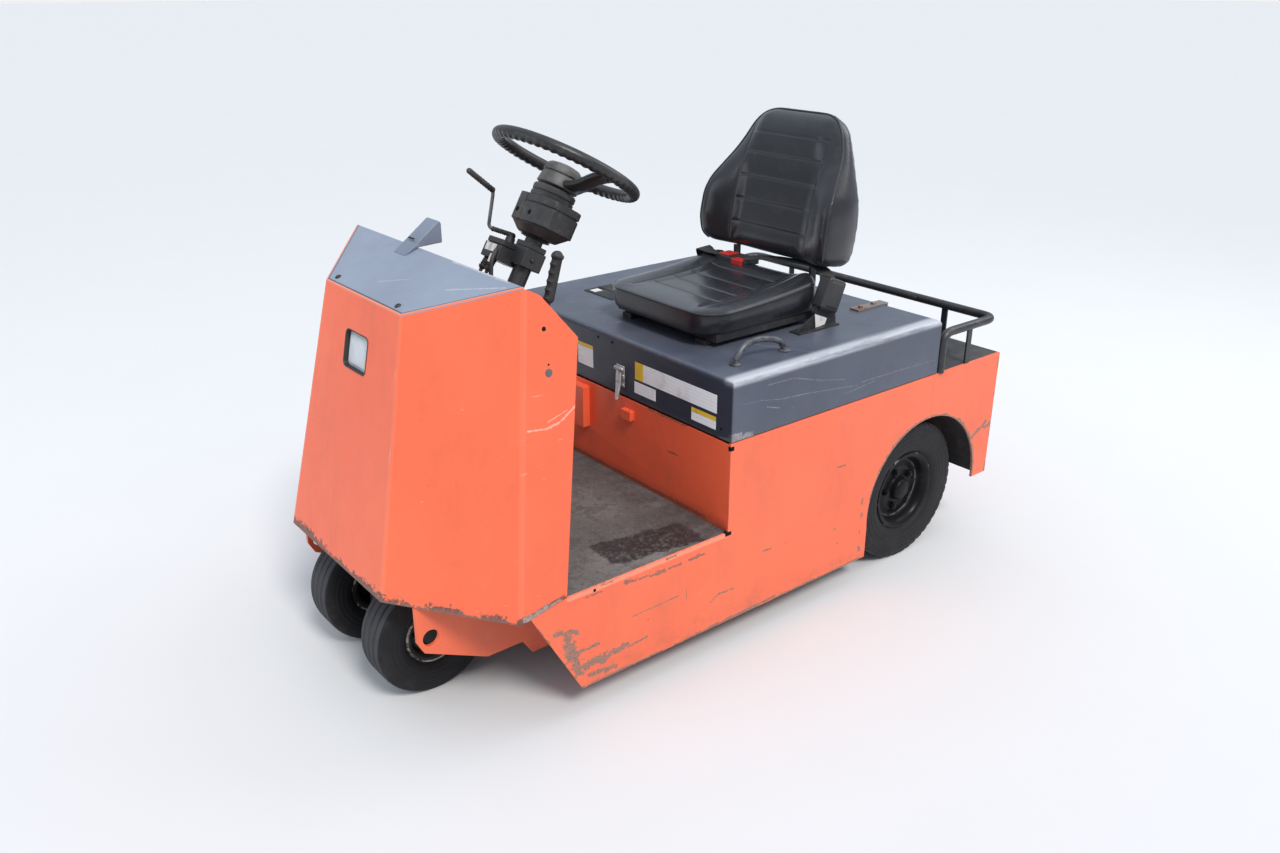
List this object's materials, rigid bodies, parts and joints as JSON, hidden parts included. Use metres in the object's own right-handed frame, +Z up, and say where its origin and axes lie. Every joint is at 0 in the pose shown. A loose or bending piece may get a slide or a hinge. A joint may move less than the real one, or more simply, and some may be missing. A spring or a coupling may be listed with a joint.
{
  "type": "electric tow tractor",
  "caption": "Sit-on electric tow tractor for baggage carts: battery hood with seat, footwell, folded steel cowl and steered twin front wheels.",
  "frame": {"origin": "on the ground under the middle of the machine's bounding box", "axes": "+X forward, +Y to the driver's left, +Z up"},
  "size_m": [1.971, 0.993, 1.2683],
  "materials": {
    "orange_paint": "gloss enamel, faded, scratched and rust-spotted",
    "slate_paint": "satin enamel, worn to bare steel along the edges",
    "black_paint": "black enamel with dust and rust",
    "grey_paint": "grey machine enamel, dusty",
    "bare_steel": "bare worn steel",
    "black_vinyl": "stitched black vinyl with a soft sheen",
    "black_rubber": "matt black moulded rubber",
    "tyre_rubber": "dusty industrial tyre rubber",
    "black_plastic": "matt moulded plastic",
    "lens": "clear ribbed lens",
    "red_lens": "red lamp lens",
    "worn_floor": "grey-brown worn and dirty floor paint"
  },
  "bodies": {
    "chassis": {"side_panel_left": "orange_paint", "side_panel_right": "orange_paint", "floor_plate": "worn_floor", "riser_panel": "orange_paint", "rear_panel": "orange_paint", "rear_deck": "black_paint", "chassis_frame": "orange_paint", "front_cowl": "orange_paint", "cowl_top": "slate_paint", "instrument_pod": "slate_paint", "headlamp": "black_plastic", "headlamp_lens": "lens", "battery": "grey_paint", "rear_axle": "black_paint", "drive_motor": "grey_paint", "wheel_arches": "black_paint", "tow_coupling": "black_paint", "tow_pin": "bare_steel", "rear_rail": "black_paint", "hinge_brackets": "black_paint", "steering_column": "black_paint", "steering_gearbox": "grey_paint", "column_cover": "black_plastic", "direction_lever": "black_plastic", "brake_lever": "black_paint", "pedals": "black_paint", "tail_lamps": "red_lens"},
    "hood": {"battery_hood": "slate_paint", "hood_handle": "black_paint", "hood_latch": "bare_steel", "hinge_straps": "bare_steel", "seat_frame": "black_paint", "seat_cushion": "black_vinyl", "seat_back": "black_vinyl", "seat_belt": "black_plastic"},
    "steering_wheel": {"steering_wheel": "black_rubber"},
    "front_axle": {"front_axle": "black_paint"},
    "front_wheels": {"front_tyre_left": "tyre_rubber", "front_rim_left": "black_paint", "front_tyre_right": "tyre_rubber", "front_rim_right": "black_paint"},
    "rear_wheel_left": {"rear_tyre_left": "tyre_rubber", "rear_rim_left": "black_paint"},
    "rear_wheel_right": {"rear_tyre_right": "tyre_rubber", "rear_rim_right": "black_paint"}
  },
  "joints": [
    {"name": "front_steer", "type": "hinge", "parent": "chassis", "child": "front_axle", "pos_m": [0.8355, 0, 0.32], "axis": [0, 0, 1], "range_deg": [-75, 75]},
    {"name": "steering_wheel_turn", "type": "hinge", "parent": "chassis", "child": "steering_wheel", "pos_m": [0.2935, 0, 1.164], "axis": [-0.5075, 0, 0.8616], "range_deg": [-720, 720]},
    {"name": "hood_hinge", "type": "hinge", "parent": "chassis", "child": "hood", "pos_m": [-0.6135, 0, 0.691], "axis": [0, -1, 0], "range_deg": [0, 65]},
    {"name": "front_wheels_spin", "type": "hinge", "parent": "front_axle", "child": "front_wheels", "pos_m": [0.8355, 0, 0.15], "axis": [0, 1, 0], "continuous": true},
    {"name": "rear_wheel_left_spin", "type": "hinge", "parent": "chassis", "child": "rear_wheel_left", "pos_m": [-0.5495, 0.4085, 0.208], "axis": [0, 1, 0], "continuous": true},
    {"name": "rear_wheel_right_spin", "type": "hinge", "parent": "chassis", "child": "rear_wheel_right", "pos_m": [-0.5495, -0.4085, 0.208], "axis": [0, 1, 0], "continuous": true}
  ],
  "couplings": [
    {"joint": "steering_wheel_turn", "follows": "front_steer", "ratio": 9.6}
  ]
}
